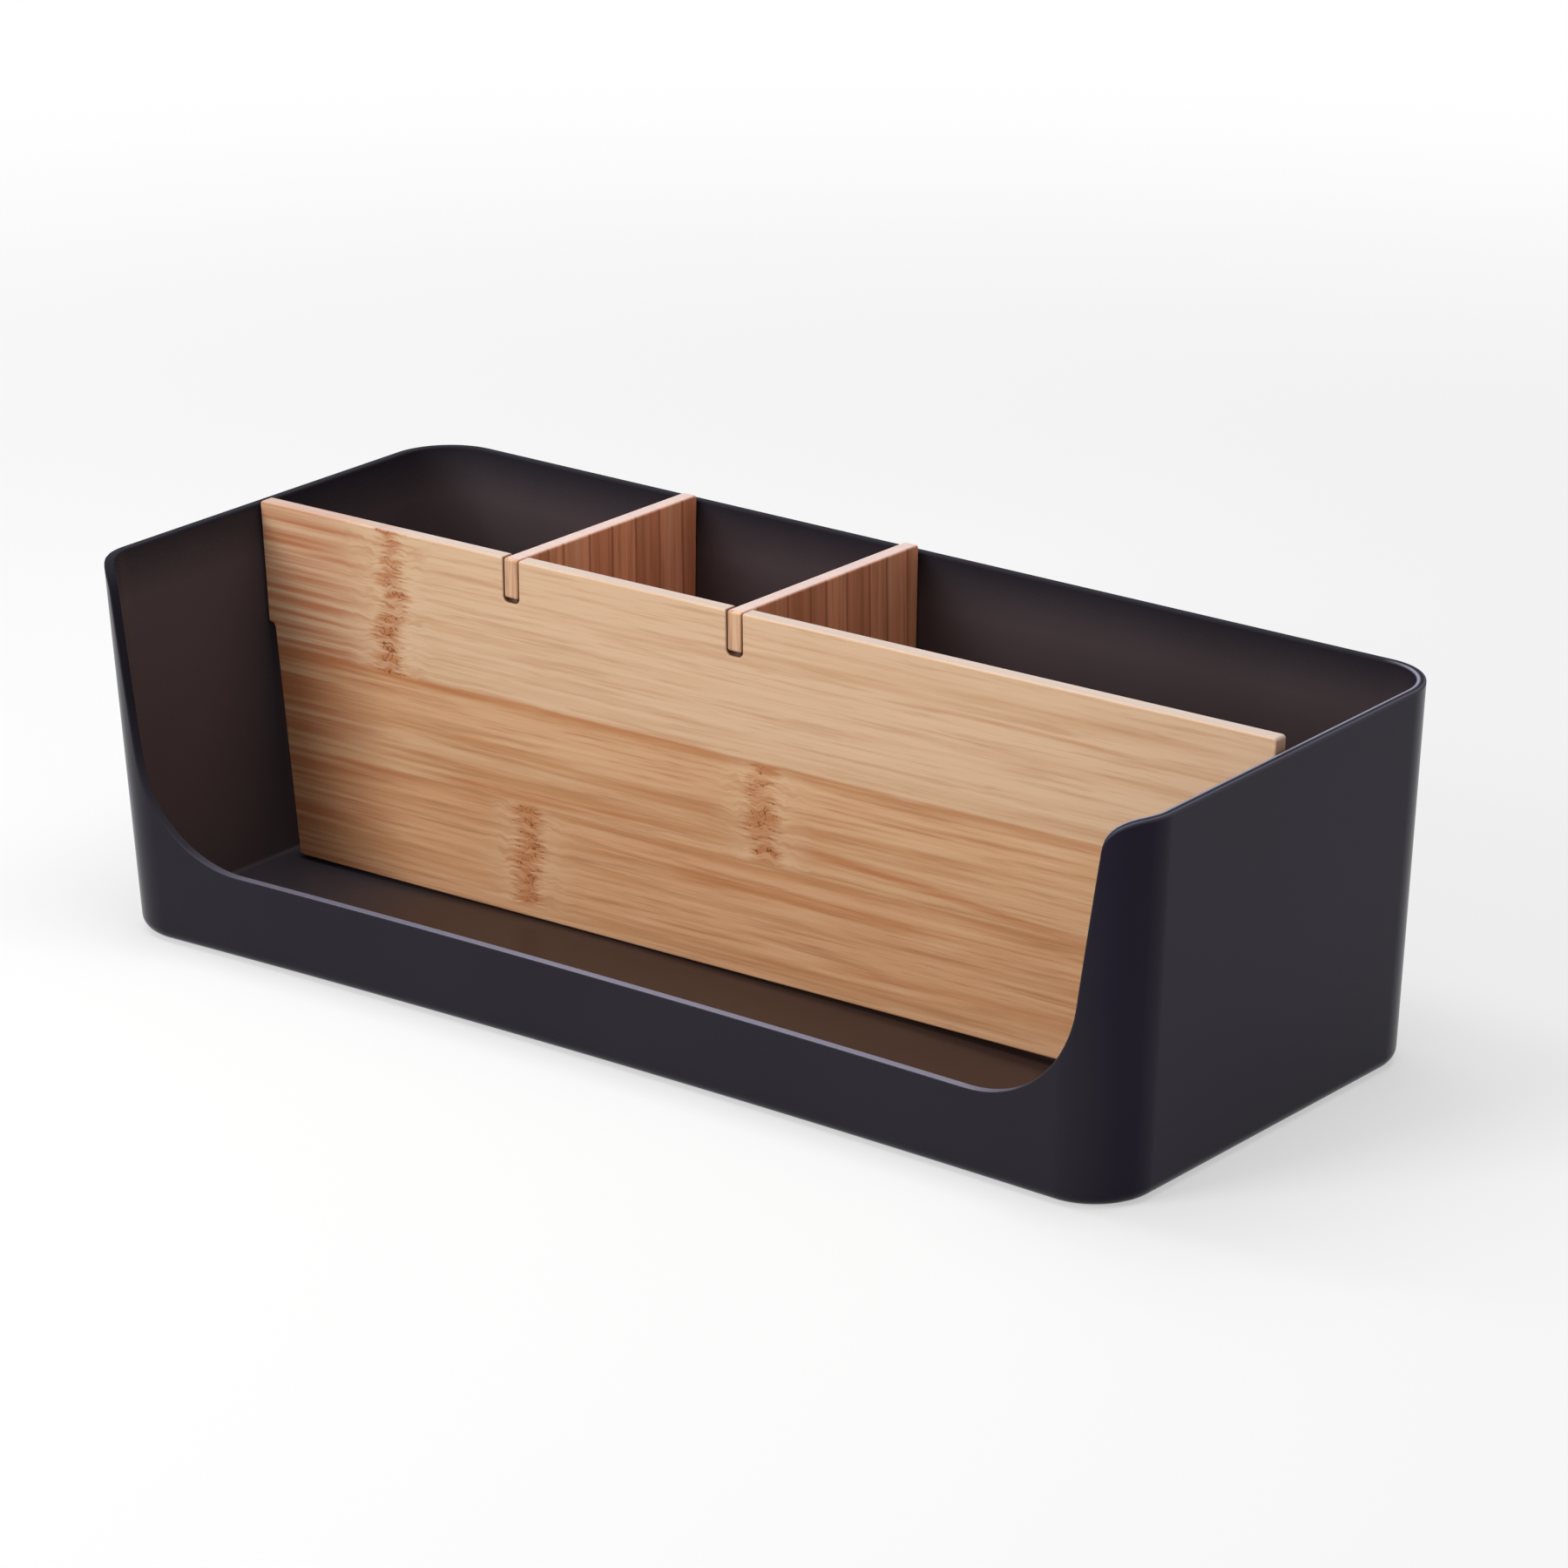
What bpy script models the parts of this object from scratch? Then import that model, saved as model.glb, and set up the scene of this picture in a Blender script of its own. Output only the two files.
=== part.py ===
"""Compartment storage box: a moulded tray with a scooped front and three push-in bamboo partitions.

Frame: +X runs along the long side, +Y to the rear, +Z up. The origin is under the middle of the tray.
Units are metres.
"""
import math

import bmesh
import bpy
from mathutils import Matrix, Vector

# Tray: overall sizes are measured at the rim, outside
TRAY_LENGTH = 0.300
TRAY_DEPTH = 0.129
TRAY_HEIGHT = 0.091
WALL = 0.0023
END_DRAFT = math.radians(3.0)
FACE_DRAFT = math.radians(2.0)
RIM_CORNER_RADIUS = 0.016
BASE_CORNER_RADIUS = 0.0155
BASE_EDGE_RADIUS = 0.0032
RIM_EDGE_RADIUS = 0.0006

# The open front lets the long wall draw in at mid-length and the side walls stand out towards the front
FRONT_BOW = 0.0027
SIDE_SPLAY = 0.0014

# Scooped opening in the front wall, seen from the front
LIP_HEIGHT = 0.0211
SCOOP_HALF_LENGTH = 0.1421
SCOOP_LEAN = math.radians(8.4)
SCOOP_LOWER_RADIUS = 0.030
SCOOP_UPPER_RADIUS = 0.008

# Foot rim round the underside. Inside it the floor rises in a shallow crown, flat in its middle.
FOOT_RIM_WIDTH = 0.008
FLOOR_CROWN = 0.00145
CROWN_FLAT_HALF_LENGTH = 0.037
CROWN_FLAT_SHARE = 0.5
CROWN_CENTRE_Y = -0.022

# Bamboo stock and fits
SHEET = 0.004
FIT = 0.0003
SHEET_EDGE_RADIUS = 0.00055
SHEET_CORNER_RADIUS = 0.0009

# Long panel. Its ears wedge in the drafted side walls a little askew, the right end standing higher.
PARTITION_TOP = 0.0930
FOOT_CLEARANCE = 0.00065
PANEL_TILT = math.radians(0.45)
PANEL_FORWARD = 0.002
EAR_HEIGHT = 0.0303
SHOULDER = 0.0023
FOOT_SHOULDER = 0.0051
SHOULDER_RADIUS = 0.0012

# Slots in the long panel and the tabs that drop into them
SLOT_DEPTH = 0.0108
SLOT_CORNER_RADIUS = 0.0013
TAB_HEIGHT = 0.0098
TAB_CORNER_RADIUS = 0.0007
LEFT_DIVIDER_X = -0.06885
RIGHT_DIVIDER_X = -0.0022
DIVIDER_TURN = math.radians(1.5)

# Fineness of the round stretches
CORNER_STEPS = 12
SCOOP_STEPS = 10
EDGE_STEPS = 5
STRAIGHT_STEPS = 8
WALL_STEPS = 3
CROWN_RING_SHARES = (0.94, 0.86, 0.75, 0.62, 0.5, 0.26, 0.12)
OUTLINE_STEPS = 4
BEVEL_STEPS = 3
SHEET_BEVEL_STEPS = 2
SMOOTH_UP_TO = math.radians(35)
BEVEL_FROM = math.radians(60)
FLAT_WITHIN = math.radians(1)
WELD = 0.00003


CHARCOAL = (0.026, 0.026, 0.033, 1.0)
BAMBOO = (0.62, 0.37, 0.20, 1.0)

HALF_LENGTH = TRAY_LENGTH / 2
HALF_DEPTH = TRAY_DEPTH / 2
PARTITION_HEIGHT = PARTITION_TOP - WALL - FLOOR_CROWN - FOOT_CLEARANCE


def clear_scene():
    for old in list(bpy.data.objects):
        bpy.data.objects.remove(old, do_unlink=True)


def new_collection(name):
    collection = bpy.data.collections.new(name)
    bpy.context.scene.collection.children.link(collection)
    return collection


def principled(name, colour, roughness):
    material = bpy.data.materials.new(name)
    material.use_nodes = True
    shader = material.node_tree.nodes["Principled BSDF"]
    shader.inputs["Base Color"].default_value = colour
    shader.inputs["Roughness"].default_value = roughness
    shader.inputs["Metallic"].default_value = 0.0
    material.diffuse_color = colour
    return material


def add_object(name, mesh, collection, material=None):
    piece = bpy.data.objects.new(name, mesh)
    collection.objects.link(piece)
    if material:
        mesh.materials.append(material)
    return piece


def smooth(mesh):
    mesh.shade_smooth()
    mesh.set_sharp_from_angle(angle=SMOOTH_UP_TO)


def round_corners(corners):
    """Outline points from (point, radius) corners, each radius drawn as an arc between its tangents."""
    points = []
    count = len(corners)
    for index, (corner, radius) in enumerate(corners):
        here = Vector(corner)
        if radius <= 0:
            points.append(here)
            continue
        back = (Vector(corners[index - 1][0]) - here).normalized()
        ahead = (Vector(corners[(index + 1) % count][0]) - here).normalized()
        half_angle = back.angle(ahead) / 2
        centre = here + (back + ahead).normalized() * (radius / math.sin(half_angle))
        start = here + back * (radius / math.tan(half_angle)) - centre
        sweep = start.angle_signed(here + ahead * (radius / math.tan(half_angle)) - centre)
        for step in range(OUTLINE_STEPS + 1):
            turn = Matrix.Rotation(-sweep * step / OUTLINE_STEPS, 2)
            points.append(centre + turn @ start)
    return points


def sheet_from_outline(name, corners, thickness, collection, material):
    """A flat outline in X and Z with eased arrises, its thickness centred on Y."""
    curve = bpy.data.curves.new(name + "_outline", "CURVE")
    curve.dimensions = "2D"
    curve.fill_mode = "BOTH"
    curve.extrude = thickness / 2
    points = round_corners(corners)
    spline = curve.splines.new("POLY")
    spline.points.add(len(points) - 1)
    for target, point in zip(spline.points, points):
        target.co = (point.x, point.y, 0.0, 1.0)
    spline.use_cyclic_u = True
    outline = add_object(name + "_outline", curve, collection)
    bpy.context.view_layer.update()
    evaluated = outline.evaluated_get(bpy.context.evaluated_depsgraph_get())
    mesh = bpy.data.meshes.new_from_object(evaluated)
    mesh.name = name
    shape = bmesh.new()
    shape.from_mesh(mesh)
    bmesh.ops.remove_doubles(shape, verts=shape.verts, dist=WELD)
    bmesh.ops.dissolve_limit(shape, angle_limit=FLAT_WITHIN, verts=shape.verts, edges=shape.edges)
    bmesh.ops.rotate(shape, verts=shape.verts, matrix=Matrix.Rotation(math.pi / 2, 3, "X"))
    bmesh.ops.recalc_face_normals(shape, faces=shape.faces)
    shape.to_mesh(mesh)
    shape.free()
    bpy.data.objects.remove(outline, do_unlink=True)
    piece = add_object(name, mesh, collection, material)
    ease = piece.modifiers.new("eased_arrises", "BEVEL")
    ease.width = SHEET_EDGE_RADIUS
    ease.segments = SHEET_BEVEL_STEPS
    ease.limit_method = "ANGLE"
    ease.angle_limit = BEVEL_FROM
    ease.use_clamp_overlap = False
    return piece


# Tray

def half_sizes(height):
    """Outside half-length, half-depth and corner radius of the tray at a height."""
    below_rim = TRAY_HEIGHT - height
    radius = RIM_CORNER_RADIUS + (BASE_CORNER_RADIUS - RIM_CORNER_RADIUS) * below_rim / TRAY_HEIGHT
    half_length = HALF_LENGTH - below_rim * math.tan(END_DRAFT)
    half_depth = HALF_DEPTH - below_rim * math.tan(FACE_DRAFT)
    return half_length, half_depth, radius


def scoop_arcs():
    """Centres and sweeps of the scoop's lower fillet and of its rounding under the rim, right side."""
    lean = math.tan(SCOOP_LEAN)
    turn = math.pi / 2 - SCOOP_LEAN
    foot_x = SCOOP_HALF_LENGTH - (TRAY_HEIGHT - LIP_HEIGHT) * lean
    tangent = math.tan(turn / 2)
    lower_centre = Vector((foot_x - SCOOP_LOWER_RADIUS * tangent, LIP_HEIGHT + SCOOP_LOWER_RADIUS))
    upper_centre = Vector((SCOOP_HALF_LENGTH + SCOOP_UPPER_RADIUS * tangent,
                           TRAY_HEIGHT - SCOOP_UPPER_RADIUS))
    return lower_centre, upper_centre, turn


def scoop_profile():
    """Points (x, height) of the right half of the front wall's top edge, from mid-length outwards."""
    lower_centre, upper_centre, turn = scoop_arcs()
    points = [Vector((lower_centre.x * step / STRAIGHT_STEPS, LIP_HEIGHT)) for step in range(STRAIGHT_STEPS)]
    for step in range(SCOOP_STEPS + 1):
        angle = turn * step / SCOOP_STEPS
        points.append(lower_centre + SCOOP_LOWER_RADIUS * Vector((math.sin(angle), -math.cos(angle))))
    fillet_end = points[-1].copy()
    rounding = []
    for step in range(SCOOP_STEPS + 1):
        angle = turn * (1 - step / SCOOP_STEPS)
        rounding.append(upper_centre + SCOOP_UPPER_RADIUS * Vector((-math.sin(angle), math.cos(angle))))
    for step in range(1, STRAIGHT_STEPS):
        points.append(fillet_end.lerp(rounding[0], step / STRAIGHT_STEPS))
    return points + rounding


def perimeter_places():
    """Places round the tray, each with its own top height, counter-clockwise from mid-front.

    A place is a stretch name, a share along it and the wall's top height there.
    """
    right = []
    for point in scoop_profile():
        half_length, _, radius = half_sizes(point.y)
        straight = half_length - radius
        if point.x <= straight:
            right.append(("front", point.x / straight, point.y))
        elif point.x < half_length:
            right.append(("front_corner", math.acos((point.x - straight) / radius), point.y))
    right.append(("front_corner", 0.0, TRAY_HEIGHT))
    for step in range(1, STRAIGHT_STEPS):
        right.append(("side", step / STRAIGHT_STEPS, TRAY_HEIGHT))
    for step in range(CORNER_STEPS + 1):
        right.append(("rear_corner", math.pi / 2 * step / CORNER_STEPS, TRAY_HEIGHT))
    for step in range(1, STRAIGHT_STEPS + 1):
        right.append(("rear", 1 - step / STRAIGHT_STEPS, TRAY_HEIGHT))
    places = [(1, place) for place in right]
    places += [(-1, place) for place in reversed(right[1:-1])]
    return places


def skin_point(side, place, height, inset):
    """A point of the tray's outer skin, at a height, drawn in by an inset in plan."""
    stretch, share, _ = place
    half_length, half_depth, radius = half_sizes(height)
    straight = half_length - radius
    radius_here = radius - inset
    corner_y = half_depth - radius
    if stretch == "front":
        x = share * straight
        y = -half_depth + inset + FRONT_BOW * (1 - share ** 2)
    elif stretch == "front_corner":
        x = straight + radius_here * math.cos(share)
        y = -corner_y - radius_here * math.sin(share)
    elif stretch == "side":
        x = half_length - inset
        y = corner_y * (2 * share - 1)
    elif stretch == "rear_corner":
        x = straight + radius_here * math.cos(share)
        y = corner_y + radius_here * math.sin(share)
    else:
        x = share * straight
        y = half_depth - inset
    splay = 1 - SIDE_SPLAY / HALF_LENGTH * (y / HALF_DEPTH) * (height / TRAY_HEIGHT)
    return Vector((side * x * splay, y, height))


def build_tray(collection, material):
    """The outer skin is lofted from the floor up to the scooped rim, then given its wall inwards."""
    places = perimeter_places()
    shape = bmesh.new()
    rings = []
    for step in range(EDGE_STEPS + 1):
        angle = math.pi / 2 * step / EDGE_STEPS
        height = BASE_EDGE_RADIUS * (1 - math.cos(angle))
        inset = BASE_EDGE_RADIUS * (1 - math.sin(angle))
        rings.append([shape.verts.new(skin_point(side, place, height, inset)) for side, place in places])
    for step in range(1, WALL_STEPS + 1):
        ring = []
        for side, place in places:
            height = BASE_EDGE_RADIUS + (place[2] - BASE_EDGE_RADIUS) * step / WALL_STEPS
            ring.append(shape.verts.new(skin_point(side, place, height, 0.0)))
        rings.append(ring)
    count = len(places)
    for lower, upper in zip(rings, rings[1:]):
        for index in range(count):
            ahead = (index + 1) % count
            shape.faces.new((lower[index], lower[ahead], upper[ahead], upper[index]))
    outer = rings[0]
    for ring in floor_rings(shape, places):
        for index in range(count):
            ahead = (index + 1) % count
            shape.faces.new((outer[ahead], outer[index], ring[index], ring[ahead]))
        outer = ring
    shape.faces.new(reversed(outer))
    mesh = bpy.data.meshes.new("tray")
    shape.to_mesh(mesh)
    shape.free()
    smooth(mesh)
    tray = add_object("tray", mesh, collection, material)
    wall = tray.modifiers.new("wall", "SOLIDIFY")
    wall.thickness = WALL
    wall.offset = -1.0
    wall.use_even_offset = True
    rim = tray.modifiers.new("rim_edges", "BEVEL")
    rim.width = RIM_EDGE_RADIUS
    rim.segments = BEVEL_STEPS
    rim.limit_method = "ANGLE"
    rim.angle_limit = BEVEL_FROM
    rim.loop_slide = False
    rim.use_clamp_overlap = False
    return tray


def floor_rings(shape, places):
    """Rings of the skin under the floor, from the foot rim's inner edge to the crown's flat middle."""
    inset = BASE_EDGE_RADIUS + FOOT_RIM_WIDTH
    edge = [skin_point(side, place, 0.0, inset) for side, place in places]
    yield [shape.verts.new(point) for point in edge]
    half_length = half_sizes(0.0)[0] - inset
    flat = min(CROWN_FLAT_HALF_LENGTH, half_length / 2)
    for share in CROWN_RING_SHARES:
        ring = []
        near_edge = max(0.0, (share - CROWN_FLAT_SHARE) / (1 - CROWN_FLAT_SHARE))
        for point in edge:
            x = point.x * share
            rise = min(1.0, (half_length ** 2 - x ** 2) / (half_length ** 2 - flat ** 2))
            y = CROWN_CENTRE_Y + (point.y - CROWN_CENTRE_Y) * share
            ring.append(shape.verts.new((x, y, FLOOR_CROWN * rise * (1 - near_edge ** 2))))
        yield ring


# Bamboo partitions

def inner_half_length(height):
    """Half the clear length between the side walls at a height."""
    return half_sizes(height)[0] - WALL / math.cos(END_DRAFT)


def inner_half_depth(height):
    """From the tray's middle to the rear wall's inner face at a height."""
    return half_sizes(height)[1] - WALL / math.cos(FACE_DRAFT)


def panel_corners(slot_places):
    """The long panel's outline from the bottom left, counter-clockwise, its foot at height 0."""
    foot = PARTITION_TOP - PARTITION_HEIGHT
    step = PARTITION_TOP - EAR_HEIGHT
    top = PARTITION_HEIGHT
    shoulder = top - EAR_HEIGHT
    lean_room = (EAR_HEIGHT / 2 + HALF_LENGTH * math.tan(END_DRAFT)) * math.sin(PANEL_TILT)
    top_x = inner_half_length(PARTITION_TOP) - FIT - lean_room
    ear_x = inner_half_length(step) - FIT - lean_room
    narrow_x = inner_half_length(step) - SHOULDER
    foot_x = inner_half_length(foot) - FOOT_SHOULDER
    corners = [((-foot_x, 0.0), SHEET_CORNER_RADIUS), ((foot_x, 0.0), SHEET_CORNER_RADIUS)]
    corners += [((narrow_x, shoulder), SHOULDER_RADIUS), ((ear_x, shoulder), 0.0)]
    corners += [((top_x, top), SHEET_CORNER_RADIUS)]
    half_slot = SHEET / 2 + FIT
    for x in sorted(slot_places, reverse=True):
        corners += [((x + half_slot, top), 0.0)]
        corners += [((x + half_slot, top - SLOT_DEPTH), SLOT_CORNER_RADIUS)]
        corners += [((x - half_slot, top - SLOT_DEPTH), SLOT_CORNER_RADIUS)]
        corners += [((x - half_slot, top), 0.0)]
    corners += [((-top_x, top), SHEET_CORNER_RADIUS)]
    corners += [((-ear_x, shoulder), 0.0), ((-narrow_x, shoulder), SHOULDER_RADIUS)]
    return corners


def divider_corners():
    """A cross divider's outline: X runs rearwards from the panel's front face, its foot is at height 0."""
    foot = PARTITION_TOP - PARTITION_HEIGHT
    top = PARTITION_HEIGHT
    front = -PANEL_FORWARD - SHEET / 2
    body = SHEET + FIT
    rear_top = inner_half_depth(PARTITION_TOP) - FIT - front
    rear_foot = inner_half_depth(foot) - FIT - front
    corners = [((body, 0.0), SHEET_CORNER_RADIUS), ((rear_foot, 0.0), SHEET_CORNER_RADIUS)]
    corners += [((rear_top, top), SHEET_CORNER_RADIUS), ((0.0, top), TAB_CORNER_RADIUS)]
    corners += [((0.0, top - TAB_HEIGHT), TAB_CORNER_RADIUS), ((body, top - TAB_HEIGHT), 0.0)]
    return corners


def build_partitions(collection, material):
    """The panel leans about the middle of its ears' height, and the dividers hook on it and lean with it.

    Each divider sits a little turned in its slot, as loose as the fit lets it.
    """
    foot = PARTITION_TOP - PARTITION_HEIGHT
    corners = panel_corners((LEFT_DIVIDER_X, RIGHT_DIVIDER_X))
    panel = sheet_from_outline("long_panel", corners, SHEET, collection, material)
    sway = (PARTITION_HEIGHT - EAR_HEIGHT / 2) * math.sin(PANEL_TILT)
    panel.rotation_euler = (0.0, -PANEL_TILT, 0.0)
    panel.location = (sway, -PANEL_FORWARD, foot)
    for name, x in (("cross_divider_left", LEFT_DIVIDER_X), ("cross_divider_right", RIGHT_DIVIDER_X)):
        divider = sheet_from_outline(name, divider_corners(), SHEET, collection, material)
        divider.parent = panel
        divider.rotation_euler = (0.0, 0.0, math.pi / 2 - DIVIDER_TURN)
        back = SHEET / 2
        divider.location = (x - back * math.sin(DIVIDER_TURN), -back * math.cos(DIVIDER_TURN), 0.0)


def main():
    clear_scene()
    collection = new_collection("compartment_storage_box")
    build_tray(collection, principled("charcoal_plastic", CHARCOAL, 0.38))
    build_partitions(collection, principled("bamboo", BAMBOO, 0.5))


main()
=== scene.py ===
import math

import bmesh
import bpy
from mathutils import Matrix, Vector


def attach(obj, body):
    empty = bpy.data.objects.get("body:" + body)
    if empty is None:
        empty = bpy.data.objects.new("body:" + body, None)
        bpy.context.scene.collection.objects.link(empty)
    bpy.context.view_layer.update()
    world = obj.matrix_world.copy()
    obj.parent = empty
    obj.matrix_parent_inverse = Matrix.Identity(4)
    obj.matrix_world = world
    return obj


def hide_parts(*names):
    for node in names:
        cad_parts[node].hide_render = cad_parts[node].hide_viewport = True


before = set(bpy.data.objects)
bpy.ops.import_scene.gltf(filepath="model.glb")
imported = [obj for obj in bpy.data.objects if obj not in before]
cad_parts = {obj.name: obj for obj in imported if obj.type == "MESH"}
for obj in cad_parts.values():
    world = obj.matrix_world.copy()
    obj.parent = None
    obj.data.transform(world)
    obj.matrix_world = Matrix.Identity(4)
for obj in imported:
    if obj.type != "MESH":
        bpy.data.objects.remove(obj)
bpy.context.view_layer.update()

print("frame loaded:", sorted(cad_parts))


# Helpers for node trees

def addNode(tree, kind, **settings):
    node = tree.nodes.new(kind)
    for key, value in settings.items():
        setattr(node, key, value)
    return node


def plug(tree, source, target):
    if isinstance(source, bpy.types.NodeSocket):
        tree.links.new(source, target)
    else:
        target.default_value = source


def calcIn(tree):  # gives a short function that adds a Math node to this tree
    def calc(operation, *values, clamp=False):
        node = addNode(tree, "ShaderNodeMath", operation=operation, use_clamp=clamp)
        for socket, value in zip(node.inputs, values):
            plug(tree, value, socket)
        return node.outputs[0]
    return calc


def rampBetween(tree, value, start, end, low=0.0, high=1.0, smooth=False):
    node = addNode(tree, "ShaderNodeMapRange", interpolation_type="SMOOTHSTEP" if smooth else "LINEAR")
    for socket, item in zip(node.inputs, (value, start, end, low, high)):
        plug(tree, item, socket)
    return node.outputs[0]


def newGeometryTree(name, sizes, counts=()):
    tree = bpy.data.node_groups.new(name, "GeometryNodeTree")
    tree.interface.new_socket("Geometry", in_out="INPUT", socket_type="NodeSocketGeometry")
    tree.interface.new_socket("Geometry", in_out="OUTPUT", socket_type="NodeSocketGeometry")
    for label in sizes:
        tree.interface.new_socket(label, in_out="INPUT", socket_type="NodeSocketFloat")
    for label in counts:
        tree.interface.new_socket(label, in_out="INPUT", socket_type="NodeSocketInt")
    tree.interface.new_socket("Material", in_out="INPUT", socket_type="NodeSocketMaterial")
    groupIn = addNode(tree, "NodeGroupInput")
    groupOut = addNode(tree, "NodeGroupOutput")
    return tree, groupIn, groupOut


# every tree ends in Realize Instances and Set Material
def finishTree(tree, geometry, material, groupOut):
    realize = addNode(tree, "GeometryNodeRealizeInstances")
    paint = addNode(tree, "GeometryNodeSetMaterial")
    plug(tree, geometry, realize.inputs[0])
    plug(tree, realize.outputs[0], paint.inputs["Geometry"])
    plug(tree, material, paint.inputs["Material"])
    plug(tree, paint.outputs[0], groupOut.inputs[0])


def attachTree(piece, tree, values):
    modifier = piece.modifiers.new(tree.name, "NODES")
    modifier.node_group = tree
    for item in tree.interface.items_tree:
        if item.in_out == "INPUT" and item.name in values:
            modifier[item.identifier] = values[item.name]


def addPiece(name, mesh):
    piece = bpy.data.objects.new(name, mesh)
    bpy.context.scene.collection.objects.link(piece)
    return piece


def applyAll(piece, place=Matrix.Identity(4)):  # modifiers become a plain mesh that holds its own place
    bpy.context.view_layer.update()
    evaluated = piece.evaluated_get(bpy.context.evaluated_depsgraph_get())
    mesh = bpy.data.meshes.new_from_object(evaluated)
    piece.modifiers.clear()
    piece.data = mesh
    mesh.transform(place)
    mesh.name = piece.name


def softenEdges(piece, width, steps, byWeight):
    bevel = piece.modifiers.new("eased edges", "BEVEL")
    bevel.width = width
    bevel.segments = steps
    bevel.limit_method = "WEIGHT" if byWeight else "ANGLE"
    bevel.angle_limit = math.radians(60)
    bevel.loop_slide = False
    bevel.use_clamp_overlap = False
    normals = piece.modifiers.new("even normals", "WEIGHTED_NORMAL")
    normals.keep_sharp = True
    normals.weight = 60


# Materials

def newMaterial(name, roughness, specular):
    material = bpy.data.materials.new(name)
    material.use_nodes = True
    tree = material.node_tree
    shader = tree.nodes["Principled BSDF"]
    shader.inputs["Roughness"].default_value = roughness
    shader.inputs["Specular IOR Level"].default_value = specular
    return material, tree, shader


def mixColours(tree, share, first, second):
    node = addNode(tree, "ShaderNodeMix", data_type="RGBA")
    plug(tree, share, node.inputs["Factor"])
    plug(tree, first, node.inputs[6])
    plug(tree, second, node.inputs[7])
    return node.outputs[2]


def noiseOn(tree, vector, scale, detail, roughness=0.5):
    node = addNode(tree, "ShaderNodeTexNoise")
    plug(tree, vector, node.inputs["Vector"])
    node.inputs["Scale"].default_value = scale
    node.inputs["Detail"].default_value = detail
    node.inputs["Roughness"].default_value = roughness
    return node.outputs["Fac"]


def bumpFrom(tree, shader, height, distance):
    bump = addNode(tree, "ShaderNodeBump")
    bump.inputs["Distance"].default_value = distance
    plug(tree, height, bump.inputs["Height"])
    plug(tree, bump.outputs[0], shader.inputs["Normal"])


plastic = {
    "outside": (0.0185, 0.0170, 0.0235, 1.0),
    "endWall": (0.0160, 0.0128, 0.0272, 1.0),   # painted reflection: the right end wall is darker and bluer than the front, standing in for the tint of what it mirrors
    "inside": (0.0670, 0.0510, 0.0560, 1.0),    # painted light: the inner walls are lighter and warmer than the outside; they are also a little rougher
    # painted reflection: the floor inside is painted brown, adding to the bamboo it mirrors
    "floor": (0.0430, 0.0245, 0.0195, 1.0),
    "floorEnd": (0.0500, 0.0430, 0.0520, 1.0),  # the painted reflection fades where the floor mirrors the dark left wall: greyer at its left end
    # painted shade: the rim's flat top is painted dark, standing in for the dark surroundings it mirrors
    "rim": (0.0100, 0.0095, 0.0140, 1.0),
    "paintedHighlight": (0.2600, 0.2500, 0.3300, 1.0),    # painted highlight on the arrises of the lip and the right rim
    "roughness": 0.25,
    "specular": 0.10,
    "specularTint": (0.95, 0.84, 1.0, 1.0),
    "insideDuller": 0.04,
    "rimDuller": 0.45,
    "cloudScale": 16.0,       # faint unevenness of the moulded skin
    "cloudDetail": 3.0,
    "grainScale": 4200.0,     # fine spark-eroded grain
    "grainDetail": 1.0,
    "grainDepth": 0.000002,
}
# as a place or a value goes from the first number to the second, a fade goes from 0 to 1, or from
# the third number to the fourth
plasticFades = {
    "endWallX": (0.1375, 0.1446),
    "floorEndX": (-0.078, -0.128),
    "clouds": (0.3, 0.7, 0.90, 1.10),
    "rimTop": (0.93, 0.99),
    "lipZ": (0.060, 0.040),
    "lipAside": (0.122, 0.104, 0.16, 1.0),
    "lipX": (-0.110, -0.010, 0.36, 0.74),
    "linesX": (0.132, 0.141),
    "linesZ": (0.0850, 0.0895),
    "innerLineStart": (0.0013, 0.0016),  # in from the rim's outer edge
    "innerLineEnd": (0.0023, 0.0020),
    "outerLine": (0.0007, 0.0003, 0.0, 0.3),
    "grainRoughness": (0.3, 0.7, 0.24, 0.27),
}


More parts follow.
